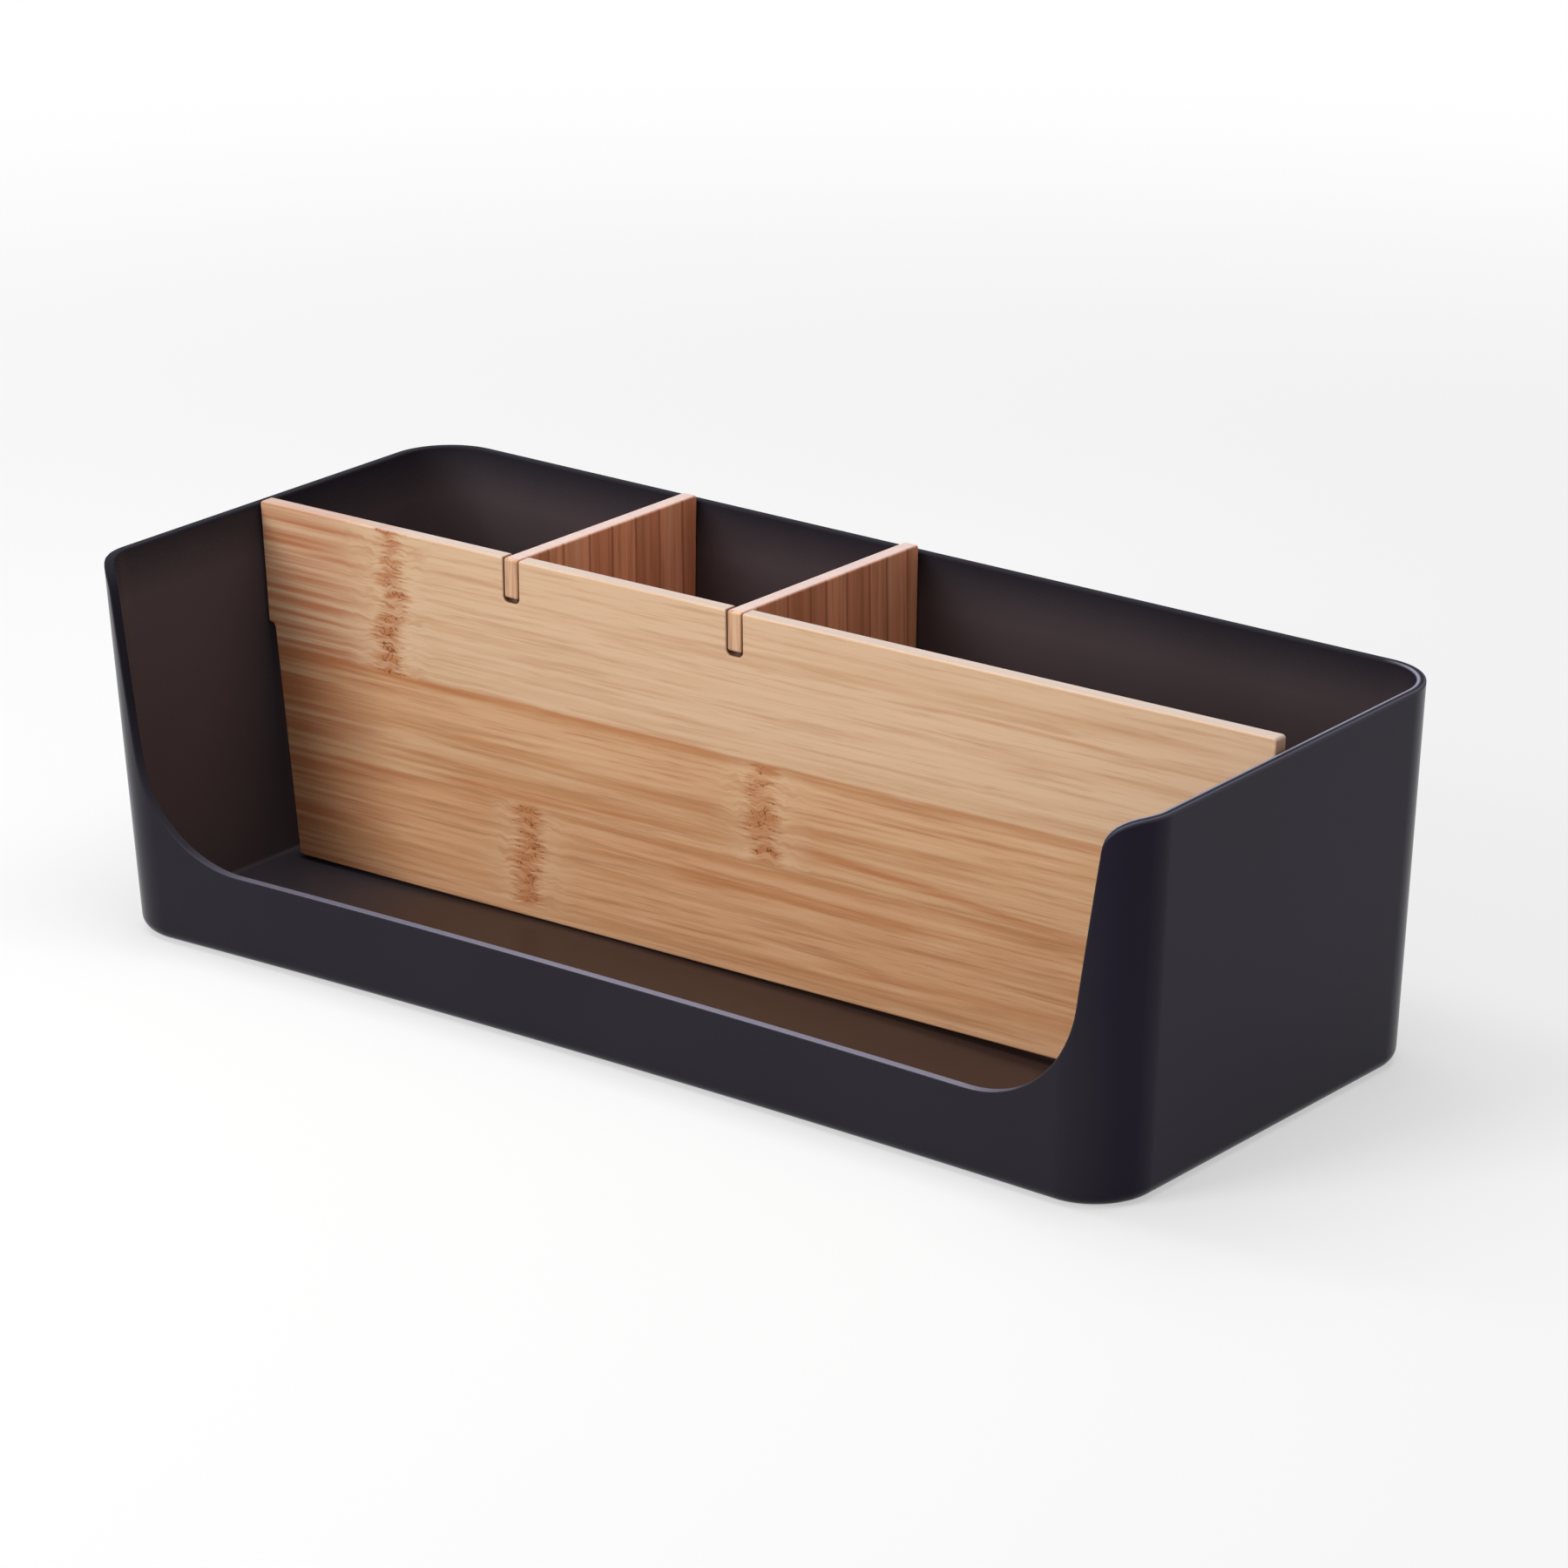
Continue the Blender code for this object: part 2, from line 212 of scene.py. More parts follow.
def makePlastic():
    material, tree, shader = newMaterial("charcoal_plastic", plastic["roughness"], plastic["specular"])
    shader.inputs["Specular Tint"].default_value = plastic["specularTint"]
    calc = calcIn(tree)

    def fade(value, kind, smooth=False):
        return rampBetween(tree, value, *plasticFades[kind], smooth=smooth)

    spot = addNode(tree, "ShaderNodeTexCoord").outputs["Object"]
    inside, onFloor, onRim = [
        addNode(tree, "ShaderNodeAttribute", attribute_type="GEOMETRY", attribute_name=name).outputs["Fac"]
        for name in ("insideShare", "floorShare", "rimShare")]
    parts = addNode(tree, "ShaderNodeSeparateXYZ")
    plug(tree, spot, parts.inputs[0])
    x, y, z = parts.outputs
    # painted light: the end wall darker and bluer, the inner walls lighter and warmer, the inner floor
    # browned by a painted reflection of the bamboo
    colour = mixColours(tree, fade(x, "endWallX", True), plastic["outside"], plastic["endWall"])
    colour = mixColours(tree, inside, colour, plastic["inside"])
    floorColour = mixColours(tree, fade(x, "floorEndX", True), plastic["floor"], plastic["floorEnd"])
    colour = mixColours(tree, onFloor, colour, floorColour)
    clouds = noiseOn(tree, spot, plastic["cloudScale"], plastic["cloudDetail"])
    cloudy = addNode(tree, "ShaderNodeVectorMath", operation="SCALE")
    plug(tree, colour, cloudy.inputs[0])
    plug(tree, fade(clouds, "clouds"), cloudy.inputs["Scale"])

    # painted shade and highlight: the rim's flat top is painted dark, and the lip and two lines along the
    # right rim are painted bright, standing in for the reflections on their arrises
    onRim = fade(onRim, "rimTop")
    colour = mixColours(tree, onRim, cloudy.outputs[0], plastic["rim"])
    lip = calc("MULTIPLY", fade(z, "lipZ"), fade(calc("ABSOLUTE", x), "lipAside"))
    lip = calc("MULTIPLY", lip, fade(x, "lipX"))
    splay = tray["Side Splay"] * 4 / (tray["Length"] * tray["Depth"])
    unsplayed = calc("DIVIDE", x, calc("SUBTRACT", 1.0, calc("MULTIPLY", y, splay)))
    bend = tray["Rim Corner"]
    pastX = calc("MAXIMUM", calc("SUBTRACT", unsplayed, tray["Length"] / 2 - bend), 0.0)
    pastY = calc("MAXIMUM", calc("SUBTRACT", calc("ABSOLUTE", y), tray["Depth"] / 2 - bend), 0.0)
    reach = calc("SQRT", calc("ADD", calc("MULTIPLY", pastX, pastX), calc("MULTIPLY", pastY, pastY)))
    inset = calc("SUBTRACT", bend, reach)
    innerLine = calc("MULTIPLY", fade(inset, "innerLineStart"), fade(inset, "innerLineEnd"))
    lines = calc("MAXIMUM", innerLine, fade(inset, "outerLine"))
    right = calc("MULTIPLY", fade(unsplayed, "linesX"), fade(z, "linesZ"))
    paintedHighlight = calc("MAXIMUM", lip, calc("MULTIPLY", right, lines))
    colour = mixColours(tree, calc("MULTIPLY", onRim, paintedHighlight), colour, plastic["paintedHighlight"])
    plug(tree, colour, shader.inputs["Base Color"])

    grain = noiseOn(tree, spot, plastic["grainScale"], plastic["grainDetail"])
    duller = calc("MULTIPLY", onRim, plastic["rimDuller"])
    duller = calc("MULTIPLY_ADD", inside, plastic["insideDuller"], duller)
    plug(tree, calc("ADD", fade(grain, "grainRoughness"), duller), shader.inputs["Roughness"])
    bumpFrom(tree, shader, grain, plastic["grainDepth"])
    return material


bamboo = {
    "roughness": 0.42,
    "specular": 0.25,
    "fibreDepth": 0.00003,
    "paleTint": (0.80, 0.56, 0.36, 1.0),
    "orange": (0.52, 0.235, 0.095, 1.0),
    "fibreDark": (0.46, 0.205, 0.090, 1.0),
    "band": (0.50, 0.185, 0.065, 1.0),
    # painted shade inside the slots
    "paintedSlotShade": (0.200, 0.090, 0.045, 1.0),
    "curlDark": (0.15, 0.045, 0.020, 1.0),
    "knuckleRed": (0.50, 0.19, 0.072, 1.0),
    "tabFace": (0.74, 0.45, 0.25, 1.0),
}
# noises on a board: cycles a metre along and across the grain, then detail and roughness
grains = {
    "wobble": (14.0, 90.0, 2.0, 0.55),
    "wander": (30.0, 130.0, 1.0, 0.55),
    "feather": (60.0, 1500.0, 1.0, 0.55),
    "ripple": (230.0, 170.0, 1.0, 0.55),
    "mottle": (5.0, 60.0, 2.0, 0.55),
    "streak": (7.0, 300.0, 2.0, 0.55),
    "fibre": (30.0, 900.0, 3.0, 0.60),
    "dash": (90.0, 1500.0, 1.0, 0.55),
    "shadeStreak": (10.0, 620.0, 2.0, 0.55),
    "stroke": (130.0, 750.0, 2.0, 0.55),
    "curl": (430.0, 560.0, 1.0, 0.55),
}
# how each tint sets in, written like the fades above
tints = {
    "paleMottle": (0.45, 0.30, 0.0, 0.22),
    "edgeStreak": (0.32, 0.58, 0.15, 0.90),
    "streak": (0.49, 0.70, 0.0, 0.70),
    "fibre": (0.50, 0.68, 0.0, 0.68),
    "dash": (0.62, 0.78, 0.0, 0.30),
    "paleFibre": (0.46, 0.30, 0.0, 0.35),
    "band": (0.36, 0.58, 0.45, 1.0),
    "shadeStreak": (0.40, 0.60, 0.22, 0.88),
    "slat": (0.1, 0.9, 0.0, 0.55),
    "glueLine": (0.07, 0.015, 0.0, 0.60),
    "curlLine": (0.034, 0.010),
    "curlStroke": (0.44, 0.54),
    "curlInKnuckle": (0.45, 0.80, 0.0, 0.80),
    "paleHalo": (0.1, 0.9, 0.0, 0.30),
    "haloStroke": (0.50, 0.64, 0.0, 0.60),
    "knuckle": (0.36, 0.58, 0.18, 0.82),
    "tabLines": (0.44, 0.62),
    "roughness": (0.3, 0.7, 0.36, 0.52),
}
# lengths on a board in metres, and fades over a length
spans = {
    "knuckleWander": 0.00832,
    "knuckleFeather": 0.01144,
    "knuckle": (0.00182, 0.0052, 1.0, 0.0),
    "halo": (0.00156, 0.01872, 1.0, 0.0),
    "knuckleEnd": 0.0006,     # how softly a knuckle stops at its strip's edges
    "ripple": 0.0036,         # how far the fibres are pushed aside by a knuckle
    "stripWobble": 0.0012,
    "aboveStrip": (-0.0005, 0.0001),
    "belowStrip": (0.0006, 0.0034, 1.0, 0.0),
    "bandWobble": 0.0022,
    "bandOutside": 0.006,     # a broad streak fades from this far past its end
    "bandInside": 0.014,      # to this far before it
    "paintedShadeWobble": 0.06,
    "sawn": (0.00195, 0.00165),
    "endFace": (0.1405, 0.1420),
    "underTop": (-0.0002, -0.0008),
    "besideSlot": (0.0029, 0.0025),
    "inSlot": (-0.0007, -0.0003),
    "tabFront": (0.0012, 0.0004, 0.0, 0.85),
}
shares = {
    "farRipple": 0.05,        # how much of the ripple is left away from the knuckles
    "stripBlend": 0.006,      # half the blend between two strips, as a share of the board's height
    "bandCore": 0.2,
    "sawn": 0.80,
    "sawnPaintedShade": 0.28,
    "endGrain": 0.85,
}


def boardAxes(tree, place, upright):  # the board's own axes: along and across the grain, and its thickness
    mapping = addNode(tree, "ShaderNodeMapping", vector_type="TEXTURE")
    plug(tree, addNode(tree, "ShaderNodeTexCoord").outputs["Object"], mapping.inputs["Vector"])
    mapping.inputs["Location"].default_value = place.to_translation()
    mapping.inputs["Rotation"].default_value = place.to_euler()
    parts = addNode(tree, "ShaderNodeSeparateXYZ")
    plug(tree, mapping.outputs[0], parts.inputs[0])
    first, second, third = parts.outputs
    return (second, first, third) if upright else (first, second, third)


def makeBamboo(name, place, look):
    material, tree, shader = newMaterial(name, bamboo["roughness"], bamboo["specular"])
    calc = calcIn(tree)
    along, flat, through = boardAxes(tree, place, look["upright"])
    across = calc("SUBTRACT", flat, calc("MULTIPLY", along, look["lean"]))

    def grain(kind, height):
        alongScale, acrossScale, detail, roughness = grains[kind]
        join = addNode(tree, "ShaderNodeCombineXYZ")
        plug(tree, calc("MULTIPLY", calc("ADD", along, look["seed"]), alongScale), join.inputs[0])
        plug(tree, calc("MULTIPLY", height, acrossScale), join.inputs[1])
        plug(tree, calc("MULTIPLY", through, acrossScale), join.inputs[2])
        return noiseOn(tree, join.outputs[0], 1.0, detail, roughness)

    def centred(noise):
        return calc("SUBTRACT", noise, 0.5)

    def tint(noise, kind):
        return rampBetween(tree, noise, *tints[kind])

    # how near a knuckle is, and its surroundings
    wander = calc("MULTIPLY", centred(grain("wander", across)), spans["knuckleWander"])
    feather = calc("MULTIPLY", centred(grain("feather", across)), spans["knuckleFeather"])
    end = spans["knuckleEnd"]
    knot, halo = 0.0, 0.0
    for middle, low, high in look["knuckles"]:
        away = calc("ABSOLUTE", calc("ADD", calc("SUBTRACT", along, middle), wander))
        inStrip = calc("MULTIPLY", rampBetween(tree, across, low - end, low + end),
                       rampBetween(tree, across, high + end, high - end))
        near = rampBetween(tree, calc("ADD", away, feather), *spans["knuckle"], smooth=True)
        wide = rampBetween(tree, away, *spans["halo"], smooth=True)
        knot = calc("MULTIPLY_ADD", near, inStrip, knot)
        halo = calc("MULTIPLY_ADD", wide, inStrip, halo)
    ripple = calc("MULTIPLY", centred(grain("ripple", across)), spans["ripple"])
    shift = calc("MULTIPLY", ripple, calc("ADD", halo, shares["farRipple"]))
    bent = calc("ADD", across, shift)
    wobble = centred(grain("wobble", across))

    # laminated strips, each with its own tone, and a streak below each joint
    ramp = addNode(tree, "ShaderNodeValToRGB")
    strips = look["strips"]
    bottom, top = strips[0][0], strips[-1][0]
    level = calc("MULTIPLY_ADD", wobble, spans["stripWobble"], across)
    plug(tree, rampBetween(tree, level, bottom, top), ramp.inputs[0])
    stops = ramp.color_ramp.elements
    stops[0].color = strips[0][1]
    stops[1].color = strips[-2][1]
    edgeStreak = 0.0
    for (_, before), (height, after) in zip(strips, strips[1:-1]):
        share = (height - bottom) / (top - bottom)
        stops.new(share - shares["stripBlend"]).color = before
        stops.new(share + shares["stripBlend"]).color = after
        below = calc("SUBTRACT", height, bent)
        upper = rampBetween(tree, below, *spans["aboveStrip"])
        lower = rampBetween(tree, below, *spans["belowStrip"], smooth=True)
        edgeStreak = calc("MULTIPLY_ADD", upper, lower, edgeStreak)
    calm = rampBetween(tree, bent, *look["calm"]) if look["calm"] else 1.0

    mottle, streak, fibre, dash = [grain(kind, bent) for kind in ("mottle", "streak", "fibre", "dash")]
    colour = ramp.outputs[0]
    for share, shade in (
            (tint(mottle, "paleMottle"), "paleTint"),
            (calc("MULTIPLY", edgeStreak, tint(mottle, "edgeStreak")), "orange"),
            (calc("MULTIPLY", tint(streak, "streak"), calm), "orange"),
            (calc("MULTIPLY", tint(fibre, "fibre"), calm), "fibreDark"),
            (tint(dash, "dash"), "orange"),
            (tint(fibre, "paleFibre"), "paleTint")):
        colour = mixColours(tree, share, colour, bamboo[shade])

    if look["bands"]:  # the few broad streaks that stand out
        wavy = calc("ADD", flat, calc("MULTIPLY_ADD", wobble, spans["bandWobble"], shift))
        outside, inside = spans["bandOutside"], spans["bandInside"]
        bands = 0.0
        for (startX, startY), (endX, endY), reach, strength in look["bands"]:
            slope = (endY - startY) / (endX - startX)
            level = calc("MULTIPLY_ADD", calc("SUBTRACT", along, startX), slope, startY)
            off = calc("ABSOLUTE", calc("SUBTRACT", wavy, level))
            band = rampBetween(tree, off, shares["bandCore"] * reach, reach, strength, 0.0, smooth=True)
            for fadeFrom, fadeTo in ((startX - outside, startX + inside), (endX + outside, endX - inside)):
                band = calc("MULTIPLY", band, rampBetween(tree, along, fadeFrom, fadeTo, smooth=True))
            bands = calc("MAXIMUM", bands, band)
        colour = mixColours(tree, calc("MULTIPLY", bands, tint(fibre, "band")), colour, bamboo["band"])
    if look["paintedShadeFrom"]:  # painted shade: darker, redder streaks towards one end, where the tray's end wall shades the board
        reached = calc("MULTIPLY_ADD", centred(streak), spans["paintedShadeWobble"], along)
        paintedShade = rampBetween(tree, reached, *look["paintedShadeFrom"], smooth=True)
        shadeStreak = tint(grain("shadeStreak", bent), "shadeStreak")
        colour = mixColours(tree, calc("MULTIPLY", paintedShade, shadeStreak), colour, look["paintedShadeColour"])
    if look["slats"]:  # narrow upright slats with fine glue lines
        slat = addNode(tree, "ShaderNodeTexVoronoi", voronoi_dimensions="1D")
        line = addNode(tree, "ShaderNodeTexVoronoi", voronoi_dimensions="1D", feature="DISTANCE_TO_EDGE")
        for cells in (slat, line):
            plug(tree, calc("ADD", across, look["seed"]), cells.inputs["W"])
            cells.inputs["Scale"].default_value = 1.0 / look["slats"]
        tone = addNode(tree, "ShaderNodeSeparateColor")
        plug(tree, slat.outputs["Color"], tone.inputs[0])
        colour = mixColours(tree, tint(tone.outputs[0], "slat"), colour, look["slatDark"])
        colour = mixColours(tree, tint(line.outputs["Distance"], "glueLine"), colour, look["glueLine"])
    if look["knuckles"]:
        stroke = grain("stroke", bent)
        curl = calc("ABSOLUTE", centred(grain("curl", bent)))
        curls = calc("MULTIPLY", tint(curl, "curlLine"), tint(stroke, "curlStroke"))
        for share, shade in (
                (tint(calc("SUBTRACT", halo, knot), "paleHalo"), "paleTint"),
                (calc("MULTIPLY", tint(stroke, "haloStroke"), halo), "orange"),
                (calc("MULTIPLY", knot, tint(stroke, "knuckle")), "knuckleRed"),
                (calc("MULTIPLY", curls, tint(knot, "curlInKnuckle")), "curlDark")):
            colour = mixColours(tree, share, colour, bamboo[shade])

    # sawn edges are paler: they lie inside the sheet's thickness
    inEdge = rampBetween(tree, calc("ABSOLUTE", through), *spans["sawn"])
    sawn = look["sawn"]
    if look["paintedShadeFrom"]:
        # the painted shade reaches the sawn edges too
        sawn = mixColours(tree, calc("MULTIPLY", paintedShade, shares["sawnPaintedShade"]), sawn, look["paintedShadeColour"])
        farOut = rampBetween(tree, calc("ABSOLUTE", along), *spans["endFace"])
        low = rampBetween(tree, calc("SUBTRACT", flat, board["height"]), *spans["underTop"])
        atEnd = calc("MULTIPLY", calc("MULTIPLY", farOut, low), shares["endGrain"])
        sawn = mixColours(tree, atEnd, sawn, look["endGrain"])
    colour = mixColours(tree, calc("MULTIPLY", inEdge, shares["sawn"]), colour, sawn)
    for middle, bottom in look["slots"]:  # painted shade: the slots' inner faces are darkened, standing in for the shade in the gaps beside the tabs
        beside = rampBetween(tree, calc("ABSOLUTE", calc("SUBTRACT", along, middle)), *spans["besideSlot"])
        deep = rampBetween(tree, calc("SUBTRACT", flat, bottom), *spans["inSlot"])
        slotShade = calc("MULTIPLY", calc("MULTIPLY", beside, deep), inEdge)
        colour = mixColours(tree, slotShade, colour, bamboo["paintedSlotShade"])
    if look["tab"]:  # the tab's front shows the grain's upright lines
        lines = mixColours(tree, tint(fibre, "tabLines"), bamboo["tabFace"], bamboo["fibreDark"])
        colour = mixColours(tree, rampBetween(tree, flat, *spans["tabFront"]), colour, lines)
    plug(tree, colour, shader.inputs["Base Color"])
    plug(tree, tint(fibre, "roughness"), shader.inputs["Roughness"])
    bumpFrom(tree, shader, calc("SUBTRACT", 1.0, fibre), bamboo["fibreDepth"])
    return material


# Tray

tray = {
    "Length": 0.300,          # outside, at the rim
    "Depth": 0.129,
    "Height": 0.091,
    "Wall": 0.0023,
    "End Draft": math.radians(3.0),
    "Face Draft": math.radians(2.0),
    "Rim Corner": 0.016,
    "Base Corner": 0.0155,
    "Base Edge": 0.0032,
    "Front Bow": 0.0027,
    "Side Splay": 0.0014,
    "Lip Height": 0.0211,
    "Scoop Half Length": 0.1421,
    "Scoop Lean": math.radians(8.4),
    "Scoop Lower Radius": 0.030,
    "Scoop Upper Radius": 0.008,
    "Foot Rim": 0.008,
    "Floor Crown": 0.00145,   # how far the floor rises inside the foot rim
    "Crown Flat Length": 0.037,
    "Crown Flat Share": 0.5,
    "Crown Centre": -0.022,   # in front of the panel
}
trayRows = {
    "Scoop Steps": 150,
    "Corner Steps": 20,
    "Side Steps": 12,
    "Rear Steps": 16,
    "Wall Rows": 6,
    "Crown Rows": 12,
    "Arc Steps": 8,
}
rimEdge = {"width": 0.00045, "steps": 5}
weldGap = 0.000005
onLevel = 0.001    # shares that are nearer than this count as one
onRow = 0.1        # and row numbers
nearMiddle = -0.9  # the rows stop this share of the way in to the floor's middle


def stepChoice(tree, kind, items):  # one item for each point along a short line
    node = addNode(tree, "GeometryNodeIndexSwitch", data_type=kind)
    while len(node.index_switch_items) < len(items):
        node.index_switch_items.new()
    index = addNode(tree, "GeometryNodeInputIndex")
    plug(tree, index.outputs[0], node.inputs[0])
    for socket, item in zip(node.inputs[1:], items):
        plug(tree, item, socket)
    return node.outputs[0]


def pointIn(tree, x=0.0, y=0.0, z=0.0):
    join = addNode(tree, "ShaderNodeCombineXYZ")
    for socket, value in zip(join.inputs, (x, y, z)):
        plug(tree, value, socket)
    return join.outputs[0]


def filletedLine(tree, places, radii, cuts, arcSteps):  # corner points, rounded where a radius is given
    line = addNode(tree, "GeometryNodeMeshLine", mode="OFFSET")
    line.inputs["Count"].default_value = len(places)
    place = addNode(tree, "GeometryNodeSetPosition")
    plug(tree, line.outputs[0], place.inputs["Geometry"])
    plug(tree, stepChoice(tree, "VECTOR", places), place.inputs["Position"])
    radius = addNode(tree, "GeometryNodeCaptureAttribute")
    radius.capture_items.new("FLOAT", "radius")
    plug(tree, place.outputs[0], radius.inputs["Geometry"])
    plug(tree, stepChoice(tree, "FLOAT", radii), radius.inputs[1])
    curve = addNode(tree, "GeometryNodeMeshToCurve")
    plug(tree, radius.outputs[0], curve.inputs[0])
    split = addNode(tree, "GeometryNodeSubdivideCurve")
    plug(tree, curve.outputs[0], split.inputs[0])
    plug(tree, stepChoice(tree, "INT", cuts), split.inputs["Cuts"])
    fillet = addNode(tree, "GeometryNodeFilletCurve", mode="POLY")
    plug(tree, split.outputs[0], fillet.inputs["Curve"])
    plug(tree, radius.outputs[1], fillet.inputs["Radius"])
    plug(tree, arcSteps, fillet.inputs["Count"])
    return fillet.outputs[0]


def trayTree():
    tree, groupIn, groupOut = newGeometryTree("moulded tray", tray, trayRows)
    calc = calcIn(tree)
    size = groupIn.outputs
    height = size["Height"]

    def halfSizes(z):  # outside half length, half depth and corner radius at a height
        below = calc("SUBTRACT", height, z)
        halfLength = calc("SUBTRACT", calc("MULTIPLY", size["Length"], 0.5),
                          calc("MULTIPLY", below, calc("TANGENT", size["End Draft"])))
        halfDepth = calc("SUBTRACT", calc("MULTIPLY", size["Depth"], 0.5),
                         calc("MULTIPLY", below, calc("TANGENT", size["Face Draft"])))
        change = calc("SUBTRACT", size["Base Corner"], size["Rim Corner"])
        radius = calc("ADD", size["Rim Corner"], calc("MULTIPLY", change, calc("DIVIDE", below, height)))
        return halfLength, halfDepth, radius

    # the front wall's top edge seen from the front: lip, fillet, leaning side, rounding under the rim
    deep = calc("SUBTRACT", height, size["Lip Height"])
    leaning = calc("MULTIPLY", deep, calc("TANGENT", size["Scoop Lean"]))
    footX = calc("SUBTRACT", size["Scoop Half Length"], leaning)
    halfTurn = calc("MULTIPLY", calc("SUBTRACT", math.pi / 2, size["Scoop Lean"]), 0.5)
    endX = calc("ADD", size["Scoop Half Length"],
                calc("MULTIPLY", size["Scoop Upper Radius"], calc("TANGENT", halfTurn)))
    scoop = filletedLine(
        tree,
        [pointIn(tree, 0.0, size["Lip Height"]), pointIn(tree, footX, size["Lip Height"]),
         pointIn(tree, size["Scoop Half Length"], height), pointIn(tree, endX, height)],
        [0.0, size["Scoop Lower Radius"], size["Scoop Upper Radius"], 0.0],
        [0, 0, 0, 0], size["Corner Steps"])

    # the wall's section from the underside over the rim to the floor: x is how far inside the outer
    # skin, y the height near the base, z the share of the way up to the top edge, or below zero the
    # share of the way in to the floor's middle
    wall, base = size["Wall"], size["Base Edge"]
    footInset = calc("ADD", base, size["Foot Rim"])
    innerEdge = calc("SUBTRACT", base, wall)
    rows, crownRows = size["Wall Rows"], size["Crown Rows"]
    section = filletedLine(
        tree,
        [pointIn(tree, footInset, 0.0, nearMiddle), pointIn(tree, footInset), pointIn(tree),
         pointIn(tree, 0.0, base), pointIn(tree, 0.0, base, 1.0), pointIn(tree, wall, base, 1.0),
         pointIn(tree, wall, base), pointIn(tree, wall, wall), pointIn(tree, footInset, wall),
         pointIn(tree, footInset, wall, nearMiddle)],
        [0.0, 0.0, base, 0.0, 0.0, 0.0, 0.0, innerEdge, 0.0, 0.0],
        [crownRows, 0, 0, rows, 0, rows, 0, 0, crownRows, 0], size["Arc Steps"])

    # a grid whose one way runs round the tray and whose other way runs along the section
    corner = size["Corner Steps"]
    ends = [size["Scoop Steps"]]
    for count in (corner, size["Side Steps"], corner, size["Rear Steps"]):
        ends.append(calc("ADD", ends[-1], count))
    sectionSize = addNode(tree, "GeometryNodeAttributeDomainSize", component="CURVE")
    plug(tree, section, sectionSize.inputs[0])
    sectionCount = sectionSize.outputs["Point Count"]
    grid = addNode(tree, "GeometryNodeMeshGrid")
    grid.inputs["Size X"].default_value = 1.0
    grid.inputs["Size Y"].default_value = 1.0
    plug(tree, calc("MULTIPLY_ADD", ends[-1], 2.0, 1.0), grid.inputs["Vertices X"])
    plug(tree, sectionCount, grid.inputs["Vertices Y"])
    spot = addNode(tree, "ShaderNodeSeparateXYZ")
    plug(tree, addNode(tree, "GeometryNodeInputPosition").outputs[0], spot.inputs[0])
    turn = calc("MULTIPLY", spot.outputs[0], 2.0)  # -1 to 1, from mid-front round to mid-front
    way = calc("MULTIPLY", calc("SUBTRACT", 1.0, calc("ABSOLUTE", turn)), ends[-1])
    side = calc("MULTIPLY", calc("SIGN", turn), -1.0)
    lastRow = calc("SUBTRACT", sectionCount, 1.0)
    row = calc("ROUND", calc("MULTIPLY", calc("ADD", spot.outputs[1], 0.5), lastRow))

    sampled = addNode(tree, "GeometryNodeSampleCurve", mode="FACTOR", use_all_curves=True)
    plug(tree, scoop, sampled.inputs["Curves"])
    plug(tree, calc("DIVIDE", way, ends[0], clamp=True), sampled.inputs["Factor"])
    top = addNode(tree, "ShaderNodeSeparateXYZ")
    plug(tree, sampled.outputs["Position"], top.inputs[0])
    topX, topZ = top.outputs[0], top.outputs[1]
    topLength, _, topRadius = halfSizes(topZ)
    topStraight = calc("SUBTRACT", topLength, topRadius)
    intoCorner = calc("DIVIDE", calc("SUBTRACT", topX, topStraight), topRadius, clamp=True)
    share = calc("MINIMUM", calc("DIVIDE", topX, topStraight), 1.0)
    angle = calc("MULTIPLY", calc("ARCCOSINE", intoCorner), -1.0)
    stretch = [rampBetween(tree, way, start, end) for start, end in zip(ends, ends[1:])]
    angle = calc("MULTIPLY", angle, calc("SUBTRACT", 1.0, stretch[0]))
    angle = calc("ADD", angle, calc("MULTIPLY", stretch[2], math.pi / 2))
    share = calc("MULTIPLY", share, calc("SUBTRACT", 1.0, stretch[3]))
    rearward = calc("MULTIPLY_ADD", stretch[1], 2.0, -1.0)

    picked = addNode(tree, "GeometryNodeSampleIndex", data_type="FLOAT_VECTOR", domain="POINT")
    plug(tree, section, picked.inputs["Geometry"])
    plug(tree, addNode(tree, "GeometryNodeInputPosition").outputs[0], picked.inputs["Value"])
    plug(tree, row, picked.inputs["Index"])
    part = addNode(tree, "ShaderNodeSeparateXYZ")
    plug(tree, picked.outputs[0], part.inputs[0])
    inset, low, lift = part.outputs
    z = calc("ADD", low, calc("MULTIPLY", calc("MAXIMUM", lift, 0.0), calc("SUBTRACT", topZ, low)))

    halfLength, halfDepth, radius = halfSizes(z)
    roundHere = calc("SUBTRACT", radius, inset)
    x = calc("ADD", calc("MULTIPLY", share, calc("SUBTRACT", halfLength, radius)),
             calc("MULTIPLY", roundHere, calc("COSINE", angle)))
    y = calc("ADD", calc("MULTIPLY", rearward, calc("SUBTRACT", halfDepth, radius)),
             calc("MULTIPLY", roundHere, calc("SINE", angle)))
    bow = calc("MULTIPLY", size["Front Bow"], calc("SUBTRACT", 1.0, calc("MULTIPLY", share, share)))
    y = calc("ADD", y, calc("MULTIPLY", bow, calc("SUBTRACT", 1.0, stretch[1])))
    splay = calc("MULTIPLY", calc("DIVIDE", size["Side Splay"], calc("MULTIPLY", size["Length"], 0.5)),
                 calc("MULTIPLY", calc("DIVIDE", y, calc("MULTIPLY", size["Depth"], 0.5)),
                      calc("DIVIDE", z, height)))
    x = calc("MULTIPLY", calc("MULTIPLY", side, x), calc("SUBTRACT", 1.0, splay))

